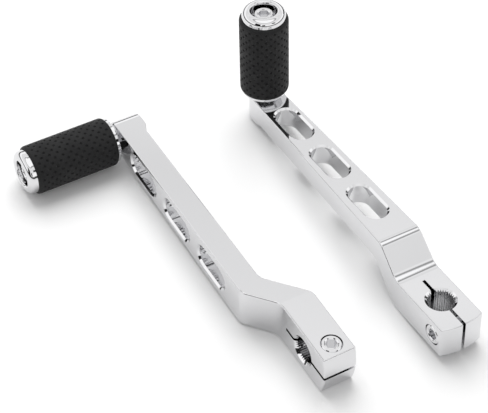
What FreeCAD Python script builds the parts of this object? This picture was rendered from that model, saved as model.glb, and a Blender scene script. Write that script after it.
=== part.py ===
import FreeCAD, Part
import os
from math import acos, asin, atan2, cos, hypot, pi, sin, sqrt, tan

# A mirror-image pair of chromed foot shift levers, lying as they come to rest.
# Each lever is drawn in its own frame: x runs from the clamp bore to the peg,
# y is outboard, the way the peg points, and z is the side of the pinch bolt's head.
# The origin of that frame is on the bore's axis, halfway through the clamp.
# All sizes are millimetres.

os.makedirs("parts", exist_ok=True)
Vector = FreeCAD.Vector

# Lever bar
clamp_thickness = 20.4        # along y, at the clamp
clamp_height = 27.3           # along z, at the clamp
clamp_reach = 22.5            # bore axis to the crown of the end face
end_crown = 2.5               # how far the end face bulges
arm_thickness = 14.8          # along y, past the bends
arm_offset = 17.7             # arm's middle plane, outboard of the clamp's
peg_distance = 192.0          # bore axis to peg axis
peg_end_radius = 9.8          # round end of the bar, half its height there
bend_start = 25.2             # bore axis to the first bend, along x
bend_angle = 41.5             # slope of the jog between clamp and arm, degrees
inner_fold_lead = 0.9         # inboard bend starts this much nearer the bore
outer_bend_radius = 7.0       # corners that stand out
inner_bend_radius = 10.0      # corners that fold in
boss_step = 2.5               # extra thickness behind the peg
boss_length = 16.0            # flat of the boss, before its ramp
boss_ramp = 5.0               # length of the ramp
boss_ramp_radius = 7.0
edge_radius = 0.7             # polished edges of the bar

# Lightening slots through the arm
slot_count = 3
slot_first = 75.6             # bore axis to the middle of the nearest slot
slot_pitch = 40.8
slot_length = 30.6
slot_width = 13.8
slot_rim = 1.2                # chamfer round each mouth

# Serrated bore and its slit
tooth_count = 36
tooth_tip_radius = 7.7
tooth_depth = 0.75
tooth_land_share = 0.40       # share of the pitch that is tooth tip
tooth_root_share = 0.16       # share of the pitch that is flat root
bore_countersink_radius = 9.3
slit_width = 1.9
slit_past_bore = 9.6          # slit beyond the tooth tips, towards the peg

# Pinch bolt, a 5/16 inch socket-head cap screw
bolt_diameter = 7.94
bolt_head_diameter = 11.9
bolt_head_height = 7.94
bolt_socket_size = 6.35       # across flats
bolt_socket_depth = 4.2
bolt_socket_rim = 0.4         # chamfer round the socket
bolt_head_edge = 0.6
bolt_tip_chamfer = 0.9
pinch_bolt_tip_gap = 0.3      # tip short of the clamp's far face
pinch_bolt_gap = 0.15         # bolt shank to tooth tips
head_recess_clearance = 0.35  # radial, round the head
shank_clearance = 0.2         # radial, where a shank passes freely
thread_clearance = 0.05       # radial, where a shank is screwed in

# Peg
neck_diameter = 17.6          # on the lever, flaring out to the lip
neck_height = 2.9
lip_setback = 1.5             # lip inside the rubber's outside, radial
lip_thickness = 2.0
lip_edge = 0.5
rubber_wall = 5.4
rubber_length = 53.0
rubber_end_radius = 1.8
rubber_bore_clearance = 0.1   # radial, sleeve on core
cap_setback = 1.6             # cap's rim inside the rubber's outside, radial
cap_rise = 5.3                # cap's crown above the rubber
cap_crown_width = 0.2         # flat ring between shoulder and lip
cap_lip_radius = 1.5          # round mouth of the recess
cap_wall = 1.7                # cup round the recess
cap_floor = 2.5
cap_head_sink = 2.6           # bolt head below the cap's crown
cap_cup_clearance = 0.1       # radial, cup in the sleeve
washer_thickness = 2.0
washer_overhang = 1.35        # radial, washer beyond the bolt head
washer_clearance = 0.5        # radial, recess round the washer
washer_gap = 1.6              # split of the spring washer
washer_slant = 25             # degrees
peg_bolt_grip = 10.8          # thread in the lever

# The pair on the ground
lever_spacing = 72.3          # between the two bores, across the levers
lever_stagger = 12.5          # how far the right lever's bore lies nearer

shank_hole_radius = bolt_diameter / 2 + shank_clearance
washer_radius = bolt_head_diameter / 2 + washer_overhang
cap_recess_radius = washer_radius + washer_clearance
core_radius = cap_recess_radius + cap_wall
rubber_bore = core_radius + rubber_bore_clearance
rubber_radius = rubber_bore + rubber_wall
lip_radius = rubber_radius - lip_setback
cap_radius = rubber_radius - cap_setback
cap_shoulder_radius = cap_radius - cap_recess_radius - cap_lip_radius - cap_crown_width
pinch_bolt_length = clamp_height - bolt_head_height - pinch_bolt_tip_gap

half_clamp = clamp_thickness / 2
half_height = clamp_height / 2
arm_outer = arm_offset + arm_thickness / 2
arm_inner = arm_offset - arm_thickness / 2
boss_inner = arm_inner - boss_step
bar_end = peg_distance + peg_end_radius
end_corner = clamp_reach - end_crown
slit_end = tooth_tip_radius + slit_past_bore
inner_fold = bend_start - inner_fold_lead
pinch_bolt_x = -(tooth_tip_radius + pinch_bolt_gap + bolt_diameter / 2)
head_recess_radius = bolt_head_diameter / 2 + head_recess_clearance
rubber_start = arm_outer + neck_height + lip_thickness
rubber_end = rubber_start + rubber_length
cap_face = rubber_end + cap_rise
washer_top = cap_face - cap_head_sink - bolt_head_height
cap_seat = washer_top - washer_thickness
cup_bottom = cap_seat - cap_floor
peg_bolt_length = washer_top - arm_outer + peg_bolt_grip


def rounded_outline(corners):
    """Closed wire through (x, y, radius) corners, each rounded by its radius."""
    starts, ends, arcs = [], [], []
    count = len(corners)
    for index in range(count):
        x, y, radius = corners[index]
        here = Vector(x, y, 0)
        before = Vector(*corners[index - 1][:2], 0)
        after = Vector(*corners[(index + 1) % count][:2], 0)
        back = (before - here).normalize()
        ahead = (after - here).normalize()
        if radius == 0:
            starts.append(here)
            ends.append(here)
            arcs.append(None)
            continue
        half_turn = back.getAngle(ahead) / 2
        cut = radius / tan(half_turn)
        middle = (back + ahead).normalize()
        crown = here + middle * (radius / sin(half_turn) - radius)
        starts.append(here + back * cut)
        ends.append(here + ahead * cut)
        arcs.append(Part.Arc(starts[-1], crown, ends[-1]))
    edges = []
    for index in range(count):
        if arcs[index]:
            edges.append(arcs[index].toShape())
        edges.append(Part.makeLine(ends[index], starts[(index + 1) % count]))
    return Part.Wire(edges)


def prism(wire, direction):
    """Solid swept from a flat closed wire along a vector."""
    return Part.Face(wire).extrude(direction)


def tube(outer_radius, inner_radius, start, end):
    """Hollow cylinder along y."""
    axis = Vector(0, 1, 0)
    outside = Part.makeCylinder(outer_radius, end - start, Vector(0, start, 0), axis)
    inside = Part.makeCylinder(inner_radius, end - start, Vector(0, start, 0), axis)
    return outside.cut(inside)


def turned(profile):
    """Solid turned about the y axis from (radius, y) corners.

    A third number rounds its corner.
    """
    corners = [(*corner, 0)[:3] for corner in profile]
    face = Part.Face(rounded_outline(corners))
    return face.revolve(Vector(0, 0, 0), Vector(0, 1, 0), 360)


def jog_run(height):
    """Length along x of a slope of the jog's angle over this height."""
    return height / tan(bend_angle * pi / 180)


def side_outline():
    """The bar seen along z: clamp, jog, arm and the boss behind the peg."""
    outer_jog = jog_run(arm_outer - half_clamp)
    inner_jog = jog_run(arm_inner + half_clamp)
    ramp_foot = bar_end - boss_length - boss_ramp
    boss_start = bar_end - boss_length
    return rounded_outline([
        (-clamp_reach, -half_clamp, 0),
        (inner_fold, -half_clamp, outer_bend_radius),
        (inner_fold + inner_jog, arm_inner, inner_bend_radius),
        (ramp_foot, arm_inner, boss_ramp_radius),
        (boss_start, boss_inner, boss_ramp_radius),
        (bar_end, boss_inner, 0),
        (bar_end, arm_outer, 0),
        (bend_start + outer_jog, arm_outer, outer_bend_radius),
        (bend_start, half_clamp, inner_bend_radius),
        (-clamp_reach, half_clamp, 0),
    ])


def plan_outline():
    """The bar seen along y: crowned end, tapering arm and round peg end."""
    run = peg_distance - bend_start
    reach = hypot(run, half_height)
    tangent = atan2(half_height, -run) - acos(peg_end_radius / reach)
    touch_x = peg_distance + peg_end_radius * cos(tangent)
    touch_z = peg_end_radius * sin(tangent)

    def at(x, z):
        return Vector(x, 0, z)

    crown = Part.Arc(at(-end_corner, -half_height), at(-clamp_reach, 0), at(-end_corner, half_height))
    nose = Part.Arc(at(touch_x, touch_z), at(bar_end, 0), at(touch_x, -touch_z))
    edges = [crown.toShape(), nose.toShape()]
    for side in (1, -1):
        edges.append(Part.makeLine(at(-end_corner, side * half_height), at(bend_start, side * half_height)))
        edges.append(Part.makeLine(at(bend_start, side * half_height), at(touch_x, side * touch_z)))
    return Part.Wire(Part.sortEdges(edges)[0])


def bar_blank():
    """Where the side outline and the plan outline meet, with polished edges."""
    side = prism(side_outline(), Vector(0, 0, clamp_height + 2))
    side.translate(Vector(0, 0, -half_height - 1))
    depth = arm_outer + half_clamp + 2
    plan = prism(plan_outline(), Vector(0, depth, 0))
    plan.translate(Vector(0, -half_clamp - 1, 0))
    blank = side.common(plan)
    return blank.makeFillet(edge_radius, blank.Edges)


def obround(width, length, y):
    """Closed wire with two straight sides and round ends, flat at height y."""
    radius = width / 2
    straight = (length - width) / 2

    def at(x, z):
        return Vector(x, y, z)

    far = Part.Arc(at(straight, radius), at(straight + radius, 0), at(straight, -radius))
    near = Part.Arc(at(-straight, -radius), at(-straight - radius, 0), at(-straight, radius))
    return Part.Wire([
        far.toShape(),
        Part.makeLine(at(straight, -radius), at(-straight, -radius)),
        near.toShape(),
        Part.makeLine(at(-straight, radius), at(straight, radius)),
    ])


def slot_cutter():
    """One lightening slot with a chamfered mouth on both faces of the arm."""
    cutter = prism(obround(slot_width, slot_length, arm_inner - 1), Vector(0, arm_thickness + 2, 0))
    small = (slot_width, slot_length)
    large = (slot_width + 4 * slot_rim, slot_length + 4 * slot_rim)
    for face, inward in ((arm_outer, -1), (arm_inner, 1)):
        inner = obround(*small, face + inward * slot_rim)
        outer = obround(*large, face - inward * slot_rim)
        cutter = cutter.fuse(Part.makeLoft([inner, outer], True, True))
    return cutter


def serrated_bore():
    """The toothed hole through the clamp, widened at both faces."""
    pitch = 2 * pi / tooth_count
    root_radius = tooth_tip_radius + tooth_depth
    flank_share = (1 - tooth_land_share - tooth_root_share) / 2

    def at(radius, share, tooth):
        angle = (tooth + share) * pitch
        return Vector(radius * cos(angle), -half_clamp - 1, radius * sin(angle))

    land_end = tooth_land_share
    root_start = land_end + flank_share
    root_end = root_start + tooth_root_share
    edges = []
    for tooth in range(tooth_count):
        tip_start = at(tooth_tip_radius, 0, tooth)
        tip_middle = at(tooth_tip_radius, land_end / 2, tooth)
        tip_end = at(tooth_tip_radius, land_end, tooth)
        valley_start = at(root_radius, root_start, tooth)
        valley_end = at(root_radius, root_end, tooth)
        next_tip = at(tooth_tip_radius, 0, tooth + 1)
        edges.append(Part.Arc(tip_start, tip_middle, tip_end).toShape())
        edges.append(Part.makeLine(tip_end, valley_start))
        edges.append(Part.makeLine(valley_start, valley_end))
        edges.append(Part.makeLine(valley_end, next_tip))
    cutter = prism(Part.Wire(edges), Vector(0, clamp_thickness + 2, 0))
    sink = bore_countersink_radius - tooth_tip_radius
    for side in (-1, 1):
        mouth = Part.makeCone(
            bore_countersink_radius + 1,
            tooth_tip_radius,
            sink + 1,
            Vector(0, side * (half_clamp + 1), 0),
            Vector(0, -side, 0),
        )
        cutter = cutter.fuse(mouth)
    return cutter


def lever():
    """The finished bar: slots, serrated bore, slit and the holes for both bolts."""
    bar = bar_blank()
    for index in range(slot_count):
        cutter = slot_cutter()
        cutter.translate(Vector(slot_first + index * slot_pitch, 0, 0))
        bar = bar.cut(cutter)
    bar = bar.cut(serrated_bore())
    slit = Part.makeBox(
        clamp_reach + slit_end + 1,
        clamp_thickness + 2,
        slit_width,
        Vector(-clamp_reach - 1, -half_clamp - 1, -slit_width / 2),
    )
    bar = bar.cut(slit)
    seat = half_height - bolt_head_height
    up = Vector(0, 0, 1)
    recess = Part.makeCylinder(head_recess_radius, half_height, Vector(pinch_bolt_x, 0, seat), up)
    free_hole = Part.makeCylinder(shank_hole_radius, half_height, Vector(pinch_bolt_x, 0, 0), up)
    tapped_radius = bolt_diameter / 2 + thread_clearance
    tapped = Part.makeCylinder(tapped_radius, half_height + 1, Vector(pinch_bolt_x, 0, -half_height - 1), up)
    outboard = Vector(0, 1, 0)
    boss_depth = arm_outer - boss_inner + 2
    peg_hole_start = Vector(peg_distance, boss_inner - 1, 0)
    peg_hole = Part.makeCylinder(tapped_radius, boss_depth, peg_hole_start, outboard)
    for cutter in (recess, free_hole, tapped, peg_hole):
        bar = bar.cut(cutter)
    return bar.removeSplitter()


def cap_screw(length):
    """Socket-head cap screw along y, its head on top of the seat at y = 0."""
    radius = bolt_diameter / 2
    head_radius = bolt_head_diameter / 2
    body = turned([
        (0, -length),
        (radius - bolt_tip_chamfer, -length),
        (radius, -length + bolt_tip_chamfer),
        (radius, 0),
        (head_radius, 0),
        (head_radius, bolt_head_height - bolt_head_edge),
        (head_radius - bolt_head_edge, bolt_head_height),
        (0, bolt_head_height),
    ])
    floor = bolt_head_height - bolt_socket_depth
    corner = bolt_socket_size / sqrt(3)
    ring = [Vector(corner * cos(k * pi / 3), floor, corner * sin(k * pi / 3)) for k in range(7)]
    socket = prism(Part.makePolygon(ring), Vector(0, bolt_socket_depth + 1, 0))
    rim_start = Vector(0, bolt_head_height - bolt_socket_rim, 0)
    rim = Part.makeCone(corner, corner + 1, 1, rim_start, Vector(0, 1, 0))
    return body.cut(socket).cut(rim)


def peg_core():
    """Spool: flared neck on the lever, lip behind the rubber, tube inside it."""
    lip_start = arm_outer + neck_height
    return turned([
        (shank_hole_radius, arm_outer),
        (neck_diameter / 2, arm_outer),
        (lip_radius - lip_edge, lip_start),
        (lip_radius, lip_start + lip_edge),
        (lip_radius, rubber_start),
        (core_radius, rubber_start),
        (core_radius, cup_bottom),
        (shank_hole_radius, cup_bottom),
    ])


def peg_rubber():
    """Sleeve between lip and cap, its outer corners rounded."""
    sleeve = tube(rubber_radius, rubber_bore, rubber_start, rubber_end)
    rims = []
    for edge in sleeve.Edges:
        is_circle = edge.Curve.TypeId == "Part::GeomCircle"
        if is_circle and abs(edge.Curve.Radius - rubber_radius) < 0.01:
            rims.append(edge)
    return sleeve.makeFillet(rubber_end_radius, rims)


def peg_cap():
    """Chromed cup: domed rim on the rubber, deep recess for the bolt head."""
    cup_radius = rubber_bore - cap_cup_clearance
    return turned([
        (shank_hole_radius, cup_bottom),
        (cup_radius, cup_bottom),
        (cup_radius, rubber_end),
        (cap_radius, rubber_end),
        (cap_radius, cap_face, cap_shoulder_radius),
        (cap_recess_radius, cap_face, cap_lip_radius),
        (cap_recess_radius, cap_seat),
        (shank_hole_radius, cap_seat),
    ])


def lock_washer():
    """Spring washer with one slanting split."""
    ring = tube(washer_radius, shank_hole_radius, cap_seat, washer_top)
    split = Part.makeBox(
        washer_radius * 2,
        washer_thickness * 3,
        washer_gap,
        Vector(0, -washer_thickness * 1.5, -washer_gap / 2),
    )
    split.rotate(Vector(0, 0, 0), Vector(1, 0, 0), washer_slant)
    split.translate(Vector(0, (cap_seat + washer_top) / 2, 0))
    return ring.cut(split)


def resting_tilt(near, near_radius, far, far_radius):
    """Turn that lays a piece on two round edges, and its origin's height then.

    near and far are (along, up) centres of the edges, with the piece level.
    """
    along = far[0] - near[0]
    up = far[1] - near[1]
    tilt = asin((far_radius - near_radius) / hypot(along, up)) - atan2(up, along)
    height = near_radius - near[0] * sin(tilt) - near[1] * cos(tilt)
    return tilt, height


def placed(shape, along, outboard, origin):
    """Move a shape from the lever's frame to the ground's frame."""
    side = along.cross(outboard)
    matrix = FreeCAD.Matrix(
        along.x, outboard.x, side.x, origin.x,
        along.y, outboard.y, side.y, origin.y,
        along.z, outboard.z, side.z, origin.z,
        0, 0, 0, 1,
    )
    moved = shape.copy()
    moved.Placement = FreeCAD.Placement(matrix).multiply(moved.Placement)
    return moved


def lever_pieces(mirrored):
    """The seven pieces of one lever in its own frame."""
    bar = lever()
    hand = -1 if mirrored else 1
    if mirrored:
        bar = bar.mirror(Vector(0, 0, 0), Vector(0, 0, 1))
    pinch_bolt = cap_screw(pinch_bolt_length)
    pinch_bolt.rotate(Vector(0, 0, 0), Vector(1, 0, 0), 90 * hand)
    pinch_bolt.translate(Vector(pinch_bolt_x, 0, hand * (half_height - bolt_head_height)))
    peg_bolt = cap_screw(peg_bolt_length)
    peg_bolt.translate(Vector(0, washer_top, 0))
    pieces = {"lever": bar, "pinch_bolt": pinch_bolt}
    turned_pieces = {
        "peg_core": peg_core(),
        "peg_rubber": peg_rubber(),
        "peg_cap": peg_cap(),
        "lock_washer": lock_washer(),
        "peg_bolt": peg_bolt,
    }
    for name, piece in turned_pieces.items():
        piece.translate(Vector(peg_distance, 0, 0))
        pieces[name] = piece
    return pieces


def left_stance():
    """Lies on its side: rubber and the clamp's lower edge touch the ground."""
    near = (-end_corner + edge_radius, -half_height + edge_radius)
    far = (peg_distance, 0)
    tilt, height = resting_tilt(near, edge_radius, far, rubber_radius)
    along = Vector(0, cos(tilt), sin(tilt))
    outboard = Vector(-1, 0, 0)
    return along, outboard, Vector(0, 0, height)


def right_stance():
    """Lies on its inboard face, peg up: the bend and the boss touch the ground."""
    bend_centre = inner_fold - outer_bend_radius * tan(bend_angle * pi / 360)
    near = (bend_centre, -half_clamp + outer_bend_radius)
    far = (bar_end - edge_radius, boss_inner + edge_radius)
    tilt, height = resting_tilt(near, outer_bend_radius, far, edge_radius)
    along = Vector(0, cos(tilt), sin(tilt))
    outboard = Vector(0, -sin(tilt), cos(tilt))
    return along, outboard, Vector(lever_spacing, -lever_stagger, height)


pair = {}
for hand, stance in (("left", left_stance()), ("right", right_stance())):
    for name, piece in lever_pieces(hand == "right").items():
        pair[hand + "_" + name] = placed(piece, *stance)

# The middle of the pair's box, on the ground, is the part's origin.
box = Part.makeCompound(list(pair.values())).optimalBoundingBox(False, False)
to_origin = Vector(-box.Center.x, -box.Center.y, -box.ZMin)
for name, piece in pair.items():
    piece.translate(to_origin)
    piece.exportStep("parts/" + name + ".step")
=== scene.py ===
from math import cos, pi, sin

import bmesh
import bpy
from mathutils import Matrix, Vector


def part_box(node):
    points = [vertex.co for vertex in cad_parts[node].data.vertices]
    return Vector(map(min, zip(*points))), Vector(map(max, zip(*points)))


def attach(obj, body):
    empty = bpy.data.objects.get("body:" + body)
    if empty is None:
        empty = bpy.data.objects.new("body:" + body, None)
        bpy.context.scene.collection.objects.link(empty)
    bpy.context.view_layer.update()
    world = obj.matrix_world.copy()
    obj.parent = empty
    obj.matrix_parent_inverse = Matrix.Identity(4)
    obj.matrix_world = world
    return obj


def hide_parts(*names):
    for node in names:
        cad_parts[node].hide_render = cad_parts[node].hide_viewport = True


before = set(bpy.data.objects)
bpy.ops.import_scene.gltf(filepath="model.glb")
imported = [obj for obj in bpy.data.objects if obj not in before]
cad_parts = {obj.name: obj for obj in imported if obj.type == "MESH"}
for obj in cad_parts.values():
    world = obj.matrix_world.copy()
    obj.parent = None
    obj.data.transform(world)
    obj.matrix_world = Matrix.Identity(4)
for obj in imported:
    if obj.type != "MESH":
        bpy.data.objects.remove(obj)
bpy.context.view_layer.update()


# Lever bars: forged steel, ground flat, polished and chromed all over.
# The plating is a near mirror with the faint orange peel that polishing leaves, and
# a little dullness where hands and boots have rubbed it.
chrome_grey = (0.71, 0.71, 0.72)


def wear(nodes, links, low, high, scale):
    """Slowly varying number between low and high, fixed to the piece."""
    place = nodes.new("ShaderNodeTexCoord")
    clouds = nodes.new("ShaderNodeTexNoise")
    clouds.inputs["Scale"].default_value = scale
    clouds.inputs["Detail"].default_value = 3.0
    spread = nodes.new("ShaderNodeMapRange")
    spread.inputs["From Min"].default_value = 0.3
    spread.inputs["From Max"].default_value = 0.7
    spread.inputs["To Min"].default_value = low
    spread.inputs["To Max"].default_value = high
    links.new(place.outputs["Object"], clouds.inputs["Vector"])
    links.new(clouds.outputs["Fac"], spread.inputs["Value"])
    return spread.outputs["Result"]


def grain(nodes, links, scale, strength, depth):
    """Normal bent a little by fine noise, fixed to the piece."""
    place = nodes.new("ShaderNodeTexCoord")
    fine = nodes.new("ShaderNodeTexNoise")
    fine.inputs["Scale"].default_value = scale
    fine.inputs["Detail"].default_value = 4.0
    bump = nodes.new("ShaderNodeBump")
    bump.inputs["Strength"].default_value = strength
    bump.inputs["Distance"].default_value = depth
    links.new(place.outputs["Object"], fine.inputs["Vector"])
    links.new(fine.outputs["Fac"], bump.inputs["Height"])
    return bump.outputs["Normal"]


def finish(name, colour, metallic):
    """Material with its shader's plain values set, its shader, nodes and links."""
    material = bpy.data.materials.new(name)
    material.use_nodes = True
    nodes = material.node_tree.nodes
    shader = nodes["Principled BSDF"]
    shader.inputs["Base Color"].default_value = (*colour, 1)
    shader.inputs["Metallic"].default_value = metallic
    return material, shader, nodes, material.node_tree.links


chrome, shader, nodes, links = finish("polished chrome", chrome_grey, metallic=1.0)
dullness = wear(nodes, links, low=0.02, high=0.06, scale=45)
orange_peel = grain(nodes, links, scale=700, strength=0.05, depth=0.0001)
links.new(dullness, shader.inputs["Roughness"])
links.new(orange_peel, shader.inputs["Normal"])

for hand in ("left", "right"):
    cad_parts[hand + "_lever"].data.materials[0] = chrome


# Pinch bolts, peg bolts and spring washers: bright zinc on hardened steel.
# The turned ends of the heads keep a satin grain; the sockets are broached hexagons.
steel_grey = (0.72, 0.72, 0.73)

steel, shader, nodes, links = finish("bright steel", steel_grey, metallic=1.0)
satin = wear(nodes, links, low=0.05, high=0.12, scale=300)
turned = grain(nodes, links, scale=2500, strength=0.06, depth=0.0001)
links.new(satin, shader.inputs["Roughness"])
links.new(turned, shader.inputs["Normal"])

for hand in ("left", "right"):
    for piece in ("pinch_bolt", "peg_bolt", "lock_washer"):
        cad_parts[hand + "_" + piece].data.materials[0] = steel


# Peg cores and caps: turned steel, chromed like the bars.
# The core is the spool that the sleeve sits on, and the cap clamps the sleeve to it.
for hand in ("left", "right"):
    for piece in ("peg_core", "peg_cap"):
        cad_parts[hand + "_" + piece].data.materials[0] = chrome


# Rubber sleeves: black moulded rubber, pushed over the cores.
# Small round dimples stand in staggered rows all round, with a plain band at each end.
rubber_black = (0.013, 0.013, 0.0135)
sleeve_radius = 0.015
sleeve_length = 0.053
bore_radius = 0.0096
rim_radius = 0.0018
rim_steps = 3
dimple_columns = 36
dimple_rows = 19
dimple_pitch = 0.00258

# Each step of a dimple goes this much further in and this much deeper.
dimple_steps = ((0.0005, 0), (0.0003, 0.00042), (0.0002, 0.00028))

# Only faces beyond this radius, and this near a row in pitches, get a dimple.
wall_reach = 0.98 * sleeve_radius
row_slack = 0.1

rubber, shader, nodes, links = finish("black rubber", rubber_black, metallic=0.0)
shader.inputs["Specular IOR Level"].default_value = 0.25
scuffs = wear(nodes, links, low=0.55, high=0.72, scale=120)
moulded = grain(nodes, links, scale=1800, strength=0.25, depth=0.0002)
links.new(scuffs, shader.inputs["Roughness"])
links.new(moulded, shader.inputs["Normal"])


def dimpled_sleeve(name):
    """Sleeve along z from z = 0, with its dimples pushed in."""
    mesh = bmesh.new()
    plain_band = (sleeve_length - dimple_rows * dimple_pitch) / 2
    profile = [(bore_radius, 0)]
    for step in range(rim_steps + 1):
        angle = step / rim_steps * pi / 2
        reach = sleeve_radius - rim_radius * (1 - sin(angle))
        profile.append((reach, rim_radius * (1 - cos(angle))))
    for row in range(dimple_rows + 1):
        profile.append((sleeve_radius, plain_band + row * dimple_pitch))
    for step in range(rim_steps + 1):
        angle = step / rim_steps * pi / 2
        reach = sleeve_radius - rim_radius * (1 - cos(angle))
        profile.append((reach, sleeve_length - rim_radius * (1 - sin(angle))))
    profile.append((bore_radius, sleeve_length))
    points = [mesh.verts.new((radius, 0, height)) for radius, height in profile]
    edges = [mesh.edges.new(pair) for pair in zip(points, points[1:] + points[:1])]
    bmesh.ops.spin(
        mesh,
        geom=points + edges,
        cent=(0, 0, 0),
        axis=(0, 0, 1),
        angle=2 * pi,
        steps=dimple_columns,
        use_merge=True,
    )
    bmesh.ops.remove_doubles(mesh, verts=mesh.verts, dist=1e-6)
    bmesh.ops.recalc_face_normals(mesh, faces=mesh.faces)
    cells = []
    for face in mesh.faces:
        middle = face.calc_center_median()
        on_wall = middle.to_2d().length > wall_reach
        height = (middle.z - plain_band) / dimple_pitch - 0.5
        row = round(height)
        in_row = abs(height - row) <= row_slack and 0 <= row < dimple_rows
        turn = middle.to_2d().angle_signed(Vector((1, 0))) / (2 * pi)
        column = round(turn * dimple_columns - 0.5)
        if on_wall and in_row and (column + row) % 2 == 0:
            cells.append(face)
    for inwards, deeper in dimple_steps:
        bmesh.ops.inset_individual(mesh, faces=cells, thickness=inwards, depth=-deeper)
    for face in mesh.faces:
        face.smooth = True
    data = bpy.data.meshes.new(name)
    mesh.to_mesh(data)
    mesh.free()
    piece = bpy.data.objects.new(name, data)
    bpy.context.collection.objects.link(piece)
    data.materials.append(rubber)
    round_off = piece.modifiers.new("rounded dimples", "SUBSURF")
    round_off.levels = 1
    round_off.render_levels = 1
    return piece


# The right lever lies tilted by 5.74 degrees, and its peg leans with it.
peg_axes = {"left": Vector((-1, 0, 0)), "right": Vector((0, 0.0999787, 0.9949896))}
for hand, axis in peg_axes.items():
    node = hand + "_peg_rubber"
    low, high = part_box(node)
    middle = (Vector(low) + Vector(high)) / 2
    sleeve = dimpled_sleeve(hand + "_dimpled_sleeve")
    turn = Vector((0, 0, 1)).rotation_difference(axis).to_matrix().to_4x4()
    start = middle - axis * sleeve_length / 2
    sleeve.data.transform(Matrix.Translation(start) @ turn)
    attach(sleeve, "root")
    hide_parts(node)


# Floor: white seamless paper, which takes the levers' soft shadow. Seen directly or
# in the chrome it is lifted a little, up to white, without lighting the levers more.
paper_white = (0.93, 0.93, 0.93)
floor_reach = 6


def seen_directly(nodes, links, otherwise, seen):
    """Number that is one value to the camera, metal and glass, another to the rest."""
    path = nodes.new("ShaderNodeLightPath")
    metal = nodes.new("ShaderNodeMath")
    metal.operation = "MAXIMUM"
    links.new(path.outputs["Is Camera Ray"], metal.inputs[0])
    links.new(path.outputs["Is Glossy Ray"], metal.inputs[1])
    glass = nodes.new("ShaderNodeMath")
    glass.operation = "MAXIMUM"
    links.new(metal.outputs["Value"], glass.inputs[0])
    links.new(path.outputs["Is Transmission Ray"], glass.inputs[1])
    level = nodes.new("ShaderNodeMapRange")
    level.inputs["To Min"].default_value = otherwise
    level.inputs["To Max"].default_value = seen
    links.new(glass.outputs["Value"], level.inputs["Value"])
    return level.outputs["Result"]


paper, shader, nodes, links = finish("white paper", paper_white, metallic=0.0)
shader.inputs["Roughness"].default_value = 0.9
shader.inputs["Specular IOR Level"].default_value = 0.0
shader.inputs["Emission Color"].default_value = (1, 1, 1, 1)
lift = seen_directly(nodes, links, otherwise=0.0, seen=0.03)
links.new(lift, shader.inputs["Emission Strength"])
mesh = bmesh.new()
bmesh.ops.create_grid(mesh, x_segments=1, y_segments=1, size=floor_reach)
data = bpy.data.meshes.new("floor")
mesh.to_mesh(data)
mesh.free()
floor = bpy.data.objects.new("floor", data)
bpy.context.collection.objects.link(floor)
data.materials.append(paper)


# Tent: white cloth all round, plain white to the camera and an even light on dull
# faces. What shines mirrors its tones, given here from straight below, 0, to overhead, 1.
tent_tones = (
    (0.0, 0.03),
    (0.15, 0.05),
    (0.2, 0.65),
    (0.3, 0.76),
    (0.45, 0.74),
    (0.53, 0.55),
    (0.59, 0.59),
    (0.65, 0.645),
    (0.7, 0.55),
    (0.75, 0.59),
    (0.82, 0.65),
    (0.845, 0.25),
    (0.875, 0.25),
    (0.9, 0.78),
    (1.0, 0.76),
)

world = bpy.data.worlds.new("white tent")
bpy.context.scene.world = world
world.use_nodes = True
nodes, links = world.node_tree.nodes, world.node_tree.links
tent = nodes["Background"]
place = nodes.new("ShaderNodeTexCoord")
height = nodes.new("ShaderNodeSeparateXYZ")
links.new(place.outputs["Generated"], height.inputs["Vector"])
glow = nodes.new("ShaderNodeValToRGB")
links.new(height.outputs["Z"], glow.inputs["Fac"])
steps = glow.color_ramp.elements
for position, _ in tent_tones[1:-1]:
    steps.new(position)
for step, (_, brightness) in zip(steps, tent_tones):
    step.color = (brightness, brightness, brightness, 1)
path = nodes.new("ShaderNodeLightPath")
in_metal = nodes.new("ShaderNodeMapRange")
in_metal.inputs["To Min"].default_value = 1.0
in_metal.inputs["To Max"].default_value = 1.72
links.new(path.outputs["Is Glossy Ray"], in_metal.inputs["Value"])
tone = nodes.new("ShaderNodeMix")
tone.data_type = "RGBA"
tone.inputs["A"].default_value = (1, 1, 1, 1)
links.new(path.outputs["Is Glossy Ray"], tone.inputs["Factor"])
links.new(glow.outputs["Color"], tone.inputs["B"])
links.new(tone.outputs["Result"], tent.inputs["Color"])
strength = nodes.new("ShaderNodeMath")
strength.operation = "MULTIPLY"
seen_white = seen_directly(nodes, links, otherwise=0.52, seen=1.0)
links.new(seen_white, strength.inputs[0])
links.new(in_metal.outputs["Result"], strength.inputs[1])
links.new(strength.outputs["Value"], tent.inputs["Strength"])


# Softbox: one large lamp high on the far side, which casts the soft shadows.
# It is left out of reflections, so that no white square shows in the chrome.
between_levers = Vector((0, 0.03, 0))

lamp = bpy.data.lights.new("softbox", "AREA")
lamp.shape = "RECTANGLE"
lamp.size = 2.0
lamp.size_y = 2.0
lamp.energy = 44
softbox = bpy.data.objects.new("softbox", lamp)
bpy.context.collection.objects.link(softbox)
softbox.location = (0.36, 1.11, 1.87)
aim = between_levers - softbox.location
softbox.rotation_euler = aim.to_track_quat("-Z", "Y").to_euler()
softbox.visible_glossy = False


# Flags: black cloth hung round the camera and low on the far right, which draws the
# dark lines along the polished edges. Only reflections see them.
cloth_black = (0.02, 0.02, 0.02)

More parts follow.
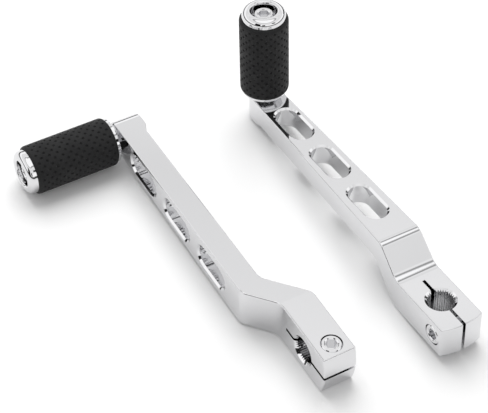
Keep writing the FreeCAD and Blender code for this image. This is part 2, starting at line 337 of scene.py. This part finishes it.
cloth, shader, nodes, links = finish("black cloth", cloth_black, metallic=0.0)
shader.inputs["Specular IOR Level"].default_value = 0.0
for name, middle, half_size in (
    ("left flag", (-1.5, -0.8, 0.75), (0.02, 0.5, 0.7)),
    ("near flag", (-0.95, -1.5, 0.75), (0.3, 0.02, 0.3)),
    ("right flag", (0.79, -1.62, 1.25), (0.3, 0.02, 0.35)),
    ("far flag", (2.2, 1.5, 0.4), (0.02, 1.1, 0.32)),
):
    mesh = bmesh.new()
    bmesh.ops.create_cube(mesh, size=2)
    bmesh.ops.scale(mesh, vec=half_size, verts=mesh.verts)
    bmesh.ops.translate(mesh, vec=middle, verts=mesh.verts)
    data = bpy.data.meshes.new(name)
    mesh.to_mesh(data)
    mesh.free()
    flag = bpy.data.objects.new(name, data)
    bpy.context.collection.objects.link(flag)
    data.materials.append(cloth)
    flag.visible_camera = False
    flag.visible_diffuse = False
    flag.visible_shadow = False


# Camera: a long lens about 1.1 m away, looking down on the pair from the clamps'
# side. Its distance, angles, lens and shift come from a fit to the photograph.
photo_width = 488
focal_pixels = 1823.5
shift_right_pixels = 5.73
shift_up_pixels = -4.08
distance = 1.0871
elevation = 0.82473
heading = 2.1264
target = Vector((0.02119, 0.03746, 0))
content_turn = 0.044812
forward = Vector(
    (-cos(heading) * cos(elevation), sin(heading) * cos(elevation), -sin(elevation))
)
level_right = forward.cross(Vector((0, 0, 1))).normalized()
level_up = level_right.cross(forward)
right = cos(content_turn) * level_right + sin(content_turn) * level_up
up = cos(content_turn) * level_up - sin(content_turn) * level_right
lens = bpy.data.cameras.new("camera")
lens.sensor_width = 36
lens.lens = focal_pixels * lens.sensor_width / photo_width
lens.shift_x = shift_right_pixels / photo_width
lens.shift_y = shift_up_pixels / photo_width
camera = bpy.data.objects.new("camera", lens)
bpy.context.collection.objects.link(camera)
basis = Matrix((right, up, -forward)).transposed().to_4x4()
camera.matrix_world = Matrix.Translation(target - forward * distance) @ basis
bpy.context.scene.camera = camera
bpy.context.scene.view_settings.view_transform = "Standard"
